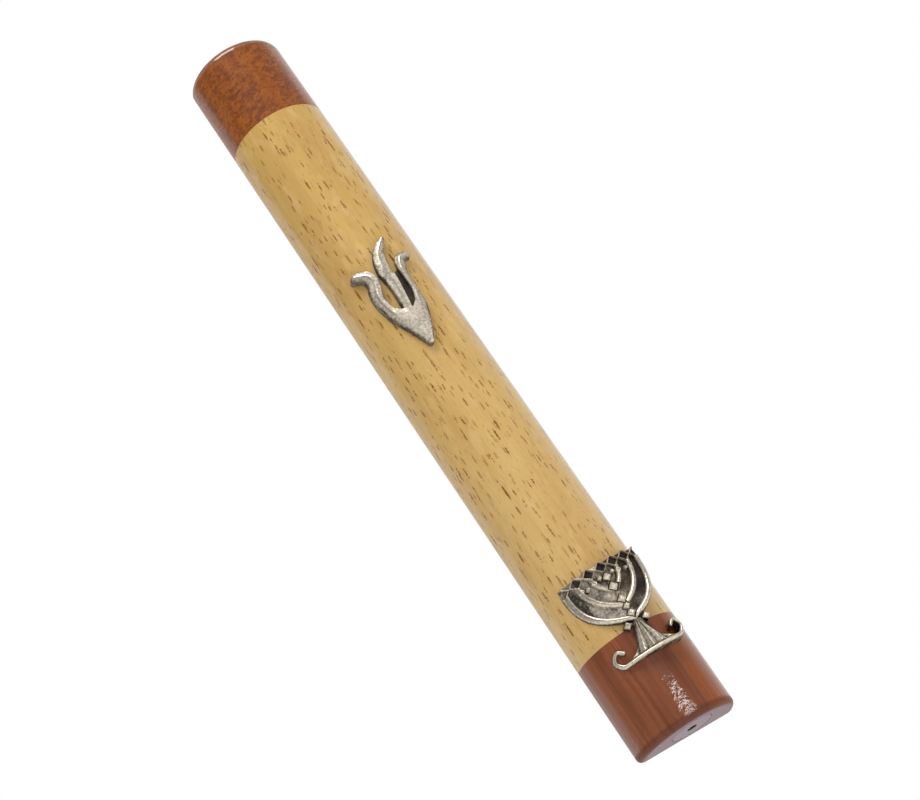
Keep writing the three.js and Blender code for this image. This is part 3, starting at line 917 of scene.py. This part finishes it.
def lacquered(s, base, wood_normal, coat, dullness, runs=None):
    """Wood under a clear coat that has a faint orange peel, and where asked a coarser ripple."""
    normal = s.bump(s.noise((1.6, 1.6, 2.2), detail=2), 0.006)
    if runs is not None:
        ripple = s.noise((0.7, 0.7, 0.8), detail=2, rough=0.55, shift=(3, 7, 1))
        normal = s.bump(ripple, 0.065, normal, runs)
    return s.finish(
        Base_Color=base, Roughness=0.5, Specular_IOR_Level=WOOD_SHEEN, Normal=wood_normal,
        Coat_Weight=coat, Coat_Roughness=dullness, Coat_Normal=normal)


def beech():
    s = Shader("lacquered_beech")
    grain = wandering_grain(s, 0.9)
    z = s.xyz(s.mm)[2]
    # Slow drift of colour: golden towards the top, paler towards the foot.
    height = s.fit(z, -58, 58, smooth=False)
    base = s.mix(height, BEECH_PALE, BEECH_GOLD)
    cloud = s.noise((6, 6, 30), detail=3, vector=grain)
    base = s.mix(s.fit(cloud, 0.35, 0.7, 0, 0.5), base, BEECH_SHADE)
    patch = s.noise((2.2, 2.2, 5), detail=2, vector=grain, shift=(6, 1, 2))
    base = s.mix(s.fit(patch, 0.5, 0.72, 0, 0.35), base, BEECH_LIGHT)
    base = s.mix(s.times(growth_rings(s, grain, z), 0.12), base, BEECH_RING)
    streak = s.noise((0.35, 0.35, 6), detail=3, rough=0.6, vector=grain)
    base = s.mix(s.fit(streak, 0.4, 0.75, 0, 0.22), base, BEECH_STREAK)
    pores = s.pores((0.3, 0.3, 1.1), 0.3, 0.14, vector=grain)
    base = s.mix(s.times(pores, 0.16), base, BEECH_PORE)
    flecks = ray_flecks(s, grain)
    base = s.mix(flecks, base, FLECK_BROWN)
    relief = s.math("ADD", s.times(streak, 0.5), s.times(flecks, -0.6))
    return lacquered(s, base, s.bump(relief, 0.012), coat=1.0, dullness=0.09)


def growth_rings(s, grain, z):
    """Latewood lines about a far-off pith, crossed almost flat; 0 to 1."""
    x, y, _ = s.xyz(s.vector("ADD", grain, PITH))
    squares = s.math("ADD", s.times(x, x), s.times(y, y))
    leaning = s.math("ADD", s.math("SQRT", squares), s.times(z, 0.035))
    wave = s.math("FRACT", s.math("DIVIDE", leaning, 2.7))
    return s.times(s.fit(wave, 0.55, 0.98), s.fit(wave, 1.0, 0.985))


def ray_flecks(s, grain):
    """Short brown dashes along the grain, beaded, crowded into loose columns; 0 to 1."""
    column = s.fit(s.noise((1.2, 1.2, 22), detail=1, vector=grain, shift=(8, 3, 1)), 0.34, 0.54)
    bead = s.fit(s.noise((0.5, 0.5, 0.36), detail=1, shift=(1, 9, 4)), 0.3, 0.6, -0.09, 0.05)
    dashes = None
    for size, strong, shift in (((0.8, 0.8, 5.2), 1.0, (0, 0, 0)), ((0.66, 0.66, 3.2), 0.8, (5, 7, 2))):
        cell = s.cells(size, vector=grain, shift=shift)
        chance = s.xyz(cell["Color"])
        reach = s.fit(chance[0], 0, 1, 0.16, 0.3, smooth=False)
        inside = s.math("SUBTRACT", s.math("ADD", reach, bead), cell["Distance"])
        dash = s.times(s.fit(inside, -0.04, 0.08), s.fit(chance[1], 0.05, 0.6, 0.15, strong))
        dashes = dash if dashes is None else s.math("MAXIMUM", dashes, dash)
    return s.times(dashes, s.math("MULTIPLY_ADD", column, 0.6, 0.4))


def mahogany(name, figured):
    """Reddish hardwood; the figured piece is mottled across the grain, the other is streaked along it."""
    s = Shader(name)
    grain = wandering_grain(s, 1.6)
    x, _, z = s.xyz(s.mm)
    broad = s.noise((3.2, 3.2, 45), detail=2, vector=grain)
    base = s.mix(s.fit(broad, 0.36, 0.66), *(TOP_CAP_TONES if figured else FOOT_CAP_TONES))
    if not figured:
        side = s.math("ADD", x, s.noise((5, 5, 30), shift=(4, 4, 4)))
        base = s.mix(s.fit(side, 2.4, 5.2, 0, 0.9), base, FOOT_CAP_ORANGE)
    streak = s.noise((0.5, 0.5, 30), detail=3, rough=0.55, vector=grain, shift=(9, 2, 0))
    base = s.mix(s.fit(streak, 0.46, 0.74, 0, 0.2 if figured else 0.45), base, MAHOGANY_STREAK)
    pores = s.pores((0.28, 0.28, 2.2), 0.26, 0.12, vector=grain)
    base = s.mix(s.times(pores, 0.25), base, MAHOGANY_PORE)
    if figured:
        base = mottled(s, base, grain)
    # End grain drinks the finish, so the lower end face has a hazier coat and a paler mauve colour, partly
    # a painted reflection of the pale surroundings. Painted shade darkens the rounded edge at each end.
    up = s.math("ABSOLUTE", z)
    edge = s.fit(up, HALF_LENGTH - 1.7, HALF_LENGTH - 0.9)
    base = s.mix(s.times(edge, 0.45), base, PAINTED_EDGE_SHADE)
    end_grain = s.fit(up, HALF_LENGTH - 0.12, HALF_LENGTH - 0.02)
    base = s.mix(s.times(end_grain, s.math("LESS_THAN", z, 0)), base, END_GRAIN_AND_PAINTED_REFLECTION)
    relief = s.math("ADD", s.times(streak, 0.4), s.times(pores, -0.6))
    runs = None if figured else s.fit(z, -65, -75, 0.0, 1)
    coat = s.math("SUBTRACT", s.fit(edge, 0, 1, 1, 0.3), s.times(end_grain, -0.3))
    return lacquered(s, base, s.bump(relief, 0.015), coat, s.fit(end_grain, 0, 1, 0.07, 0.2), runs)


def mottled(s, base, grain):
    """Pale and dark figure lying a little askew across the grain."""
    turn = s.node("ShaderNodeVectorRotate", {"Vector": grain, "Angle": math.radians(24)},
                  rotation_type="Y_AXIS").outputs[0]
    broad = s.noise((1.5, 2.2, 0.9), detail=3, rough=0.62, vector=turn)
    fine = s.noise((0.6, 0.8, 0.4), detail=2, rough=0.6, vector=turn, shift=(5, 5, 5))
    base = s.mix(s.fit(broad, 0.36, 0.66, 0, 0.7), base, MOTTLE_PALE)
    return s.mix(s.fit(fine, 0.48, 0.66, 0, 0.65), base, MOTTLE_DARK)


def plug_wood():
    s = Shader("plug_wood")
    base = s.mix(s.noise((0.5, 0.5, 9), detail=3, rough=0.6), (70, 40, 28), (118, 72, 50))
    pores = s.pores((0.26, 0.26, 2.0), 0.26, 0.12)
    base = s.mix(s.times(pores, 0.5), base, (40, 20, 14))
    z = s.xyz(s.mm)[2]
    # The outer end takes the same mauve, partly a painted reflection of the pale surroundings.
    end = s.fit(z, STOPPER_LOW[2] + 0.2, STOPPER_LOW[2] + 0.05)
    base = s.mix(end, base, END_GRAIN_AND_PAINTED_REFLECTION)
    # Painted shade darkens the inside of the pull hole.
    hole_shade = s.fit(s.math("SUBTRACT", s.off_bore(), PULL_HOLE_RADIUS + 0.08), 0.06, -0.02)
    base = s.mix(hole_shade, base, (30, 18, 20))
    turned_marks = s.math("SINE", s.times(z, 16))
    normal = s.bump(s.math("ADD", s.times(turned_marks, 0.3), pores), 0.01)
    return s.finish(Base_Color=base, Roughness=0.45, Normal=normal, Coat_Weight=0.6, Coat_Roughness=0.2)


def bare_wood():
    s = Shader("bare_dowel_wood")
    base = s.mix(s.noise((0.5, 0.5, 14), detail=3, rough=0.6), (196, 164, 112), (222, 194, 146))
    base = s.mix(s.pores((0.3, 0.3, 2.4), 0.24, 0.12, 0.5), base, (150, 112, 70))
    normal = s.bump(s.noise((0.15, 0.15, 1.5), detail=3), 0.03)
    return s.finish(Base_Color=base, Roughness=0.78, Normal=normal)


def pewter():
    s = Shader("antiqued_pewter")
    grainy = s.noise((0.42, 0.42, 0.42), detail=4, rough=0.65)
    patch = s.noise((2.2, 2.2, 2.2), detail=3, shift=(3, 1, 6))
    # The mesh's wear values also carry painted shade; where they are low the dark patina shows.
    bare_metal_share = s.math("ADD", s.wear_and_shade(), s.fit(grainy, 0.3, 0.7, -0.12, 0.1, smooth=False))
    bare_metal_share = s.math("ADD", bare_metal_share, s.fit(patch, 0.35, 0.65, -0.1, 0.08, smooth=False), clamp=True)
    metal = s.mix(s.fit(grainy, 0.35, 0.65), *METAL_TONES)
    patina = s.mix(s.fit(patch, 0.35, 0.65), *PATINA_TONES)
    base = s.mix(s.fit(bare_metal_share, 0.08, 0.7), patina, metal)
    pit = s.cells((0.5, 0.5, 0.5), shift=(2, 2, 2))
    pits = s.times(s.fit(pit["Distance"], 0.2, 0.08), s.fit(s.xyz(pit["Color"])[0], 0.6, 0.75))
    base = s.mix(s.times(pits, 0.7), base, CAST_PIT)
    relief = s.math("SUBTRACT", grainy, s.times(pits, 0.8))
    roughness = s.fit(bare_metal_share, 0.1, 0.9, 0.62, 0.3, smooth=False)
    return s.finish(Base_Color=base, Metallic=s.fit(bare_metal_share, 0.05, 0.6, 0.35, 0.8), Roughness=roughness,
                    Normal=s.bump(relief, 0.035))


def vellum():
    s = Shader("parchment")
    base = s.mix(s.noise((4, 4, 6), detail=4, rough=0.6), (222, 204, 160), (240, 228, 196))
    vein = s.noise((1.2, 1.2, 2.5), detail=3, distortion=1.5)
    veins = s.math("ABSOLUTE", s.math("SUBTRACT", vein, 0.5))
    base = s.mix(s.fit(veins, 0.02, 0.0, 0, 0.25), base, (196, 170, 122))
    base = s.mix(s.pores((0.6, 0.6, 0.6), 0.14, 0.06, 0.35), base, (170, 140, 96))
    normal = s.bump(s.noise((0.25, 0.25, 0.3), detail=3), 0.02)
    return s.finish(Base_Color=base, Roughness=0.62, Normal=normal, Subsurface_Weight=0.15,
                    Subsurface_Scale=0.6 * MM)


def clear_film():
    """See-through head on, glossier towards grazing, with dull scuffs along its length."""
    s = Shader("clear_film")
    wrinkle = s.noise((1.4, 1.4, 5), detail=3, rough=0.55)
    scuff = s.noise((0.3, 0.3, 2.2), detail=3, shift=(4, 4, 4))
    normal = s.bump(wrinkle, 0.12)
    gloss = s.node("ShaderNodeBsdfPrincipled", {
        "Base Color": colour((236, 240, 242)),
        "Roughness": s.fit(scuff, 0.4, 0.7, 0.08, 0.25),
        "Normal": normal,
        "Specular IOR Level": 0.8,
    }).outputs[0]
    clear = s.node("ShaderNodeBsdfTransparent", {"Color": colour((250, 251, 252))}).outputs[0]
    grazing = s.node("ShaderNodeLayerWeight", {"Blend": 0.3, "Normal": normal}).outputs["Facing"]
    haze = s.fit(scuff, 0.5, 0.75, 0.01, 0.09)
    share = s.math("MULTIPLY_ADD", s.math("POWER", grazing, 3.0), 0.5, haze, clamp=True)
    return s.surface(s.node("ShaderNodeMixShader", {0: share, 1: clear, 2: gloss}).outputs[0])


def foam():
    s = Shader("closed_cell_foam")
    cell = s.cells((0.28, 0.28, 0.28))
    base = s.mix(s.fit(cell["Distance"], 0.15, 0.6), (206, 204, 196), (238, 237, 231))
    base = s.mix(s.noise((6, 6, 6), detail=2), base, (228, 222, 206))
    return s.finish(Base_Color=base, Roughness=0.85, Normal=s.bump(cell["Distance"], 0.05),
                    Subsurface_Weight=0.2, Subsurface_Scale=0.8 * MM)


def release_paper():
    s = Shader("release_paper")
    fibre = s.noise((0.5, 0.5, 1.6), detail=4, rough=0.65)
    base = s.mix(s.fit(fibre, 0.35, 0.65), (232, 218, 180), (244, 234, 204))
    base = s.mix(s.noise((9, 9, 14), detail=2), base, (238, 226, 190))
    normal = s.bump(fibre, 0.012, s.bump(s.noise((7, 7, 16), detail=1), 0.12))
    return s.finish(Base_Color=base, Roughness=0.5, Normal=normal, Coat_Weight=0.35, Coat_Roughness=0.3)


def studio_floor():
    s = Shader("studio_floor")
    tone = s.mix(s.noise((60, 60, 60), detail=3), (236, 236, 235), (243, 243, 242))
    return s.finish(Base_Color=tone, Roughness=0.85)


# --- The object ---

# Name, shape, the CAD body it rides on, its slot, the CAD node it stands for, and its material.
PIECES = [
    ("case_body", wooden_body, "case", "beech", "body", beech()),
    ("case_top_cap", wooden_top_cap, "case", "mahogany", "top_cap",
     mahogany("lacquered_mahogany_figured", True)),
    ("case_bottom_cap", wooden_bottom_cap, "case", "mahogany", "bottom_cap",
     mahogany("lacquered_mahogany", False)),
    ("bore_dowel", dowel, "case", "dowel_wood", "top_dowel", bare_wood()),
    ("bore_stopper", plug, "stopper", "stopper", "stopper", plug_wood()),
    ("scroll_parchment", parchment, "scroll", "parchment", "parchment_scroll", vellum()),
    ("scroll_film", film_sleeve, "scroll", "film", "scroll_wrapper", clear_film()),
    ("strip_foam", foam_strip, "case", "foam", "adhesive_strip", foam()),
    ("strip_liner", liner_sheet, "case", "liner", "release_liner", release_paper()),
]
for piece_name, shape, body, slot, node, material in PIECES:
    add_piece(piece_name, *shape(), body, slot, node, material)
pewter_metal = pewter()
cast("emblem_shin", SHIN, shin_outline, shin_relief, "shin_emblem", pewter_metal)
cast("emblem_menorah", MENORAH, menorah_outline, menorah_relief, "menorah_emblem", pewter_metal)


# --- Studio ---

CENTRE = Vector((0, AXIS_Y, 0)) * MM
FLOOR_Z = -0.24  # clear below the pulled-out stopper
FLOOR_REACH = 6.0


def floor():
    mesh = bpy.data.meshes.new("studio_floor")
    corners = [(x * FLOOR_REACH, y * FLOOR_REACH, FLOOR_Z) for x, y in ((-1, -1), (1, -1), (1, 1), (-1, 1))]
    mesh.from_pydata(corners, [], [(0, 1, 2, 3)])
    mesh.materials.append(studio_floor())
    placed("studio_floor", mesh)


def area_light(name, direction, distance, size, radiance):
    """A soft panel facing the object; radiance 1 is as bright as the white background."""
    data = bpy.data.lights.new(name, "AREA")
    data.shape = "RECTANGLE"
    data.size, data.size_y = size
    data.energy = radiance * math.pi * size[0] * size[1]
    lamp = placed(name, data)
    towards = Vector(direction).normalized()
    lamp.location = CENTRE + towards * distance
    lamp.rotation_mode = "QUATERNION"
    lamp.rotation_quaternion = (-towards).to_track_quat("-Z", "Y")


ROOM_TINT = (1.0, 0.985, 0.97, 1)
FRONT_LEVEL, RIGHT_WALL_LEVEL, WALL_LEVEL, CEILING_LEVEL = 0.16, 0.34, 0.85, 1.0
RIGHT_WALL_EDGE = (math.radians(41), math.radians(46))
BACK_WALL_EDGE = (math.radians(75), math.radians(110))
LEFT_WALL_EDGE = (math.radians(-112), math.radians(-128))
CEILING_EDGE = (0.62, 0.76)


def surroundings():
    """The camera sees plain white. Reflections and shading see a dim space before the object, a bright
    wall from well to its right round the back to its far left, and a white ceiling."""
    world = bpy.data.worlds.new("studio")
    bpy.context.scene.world = world
    w = Nodes(world)
    x, y, z = w.xyz(w.node("ShaderNodeTexCoord").outputs["Generated"])
    azimuth = w.math("ARCTAN2", x, w.times(y, -1.0))
    right = w.fit(azimuth, *RIGHT_WALL_EDGE, FRONT_LEVEL, RIGHT_WALL_LEVEL)
    behind = w.fit(azimuth, *BACK_WALL_EDGE, 0.0, WALL_LEVEL - RIGHT_WALL_LEVEL)
    left = w.fit(azimuth, *LEFT_WALL_EDGE, 0.0, WALL_LEVEL - FRONT_LEVEL)
    walls = w.math("ADD", w.math("ADD", right, behind), left)
    level = w.math("MAXIMUM", walls, w.fit(z, *CEILING_EDGE, 0.0, CEILING_LEVEL))
    room = w.node("ShaderNodeBackground", {"Color": ROOM_TINT, "Strength": level}).outputs[0]
    white = w.node("ShaderNodeBackground", {"Color": (1, 1, 1, 1)}).outputs[0]
    seen = w.node("ShaderNodeLightPath").outputs["Is Camera Ray"]
    shown = w.node("ShaderNodeMixShader", {0: seen, 1: room, 2: white}).outputs[0]
    w.node("ShaderNodeOutputWorld", {"Surface": shown})


CAMERA_AZIMUTH = math.radians(-20)
CAMERA_ELEVATION = math.radians(-21.76)
CAMERA_ROLL = math.radians(34.41)  # clockwise, so the case leans to the left in the picture
CAMERA_DISTANCE = 351.5
CAMERA_LENS = 78.2
AIM_RIGHT, AIM_UP = 0.38, -5.4


def camera():
    sin_a, cos_a = math.sin(CAMERA_AZIMUTH), math.cos(CAMERA_AZIMUTH)
    sin_e, cos_e = math.sin(CAMERA_ELEVATION), math.cos(CAMERA_ELEVATION)
    back = Vector((sin_a * cos_e, -cos_a * cos_e, sin_e))
    level = Vector((cos_a, sin_a, 0))
    upright = back.cross(level)
    right = level * math.cos(CAMERA_ROLL) - upright * math.sin(CAMERA_ROLL)
    up = level * math.sin(CAMERA_ROLL) + upright * math.cos(CAMERA_ROLL)
    aim = Vector((0, AXIS_Y, AIM_UP)) + level * AIM_RIGHT
    data = bpy.data.cameras.new("camera")
    data.lens = CAMERA_LENS
    data.clip_start, data.clip_end = 0.01, 50
    viewer = placed("camera", data)
    pose = Matrix((right, up, back)).transposed().to_4x4()
    pose.translation = (aim + back * CAMERA_DISTANCE) * MM
    viewer.matrix_world = pose
    bpy.context.scene.camera = viewer


floor()
surroundings()
area_light("key", direction=(-0.12, -0.6, 1.05), distance=1.0, size=(0.6, 0.4), radiance=9.9)
area_light("left_fill", direction=(-0.8, -0.75, -0.55), distance=1.1, size=(0.5, 0.5), radiance=1.2)
area_light("low_strip", direction=(0.228, -0.96, 0.088), distance=1.2, size=(0.5, 0.1), radiance=13.0)
camera()
bpy.context.scene.view_settings.view_transform = "Standard"
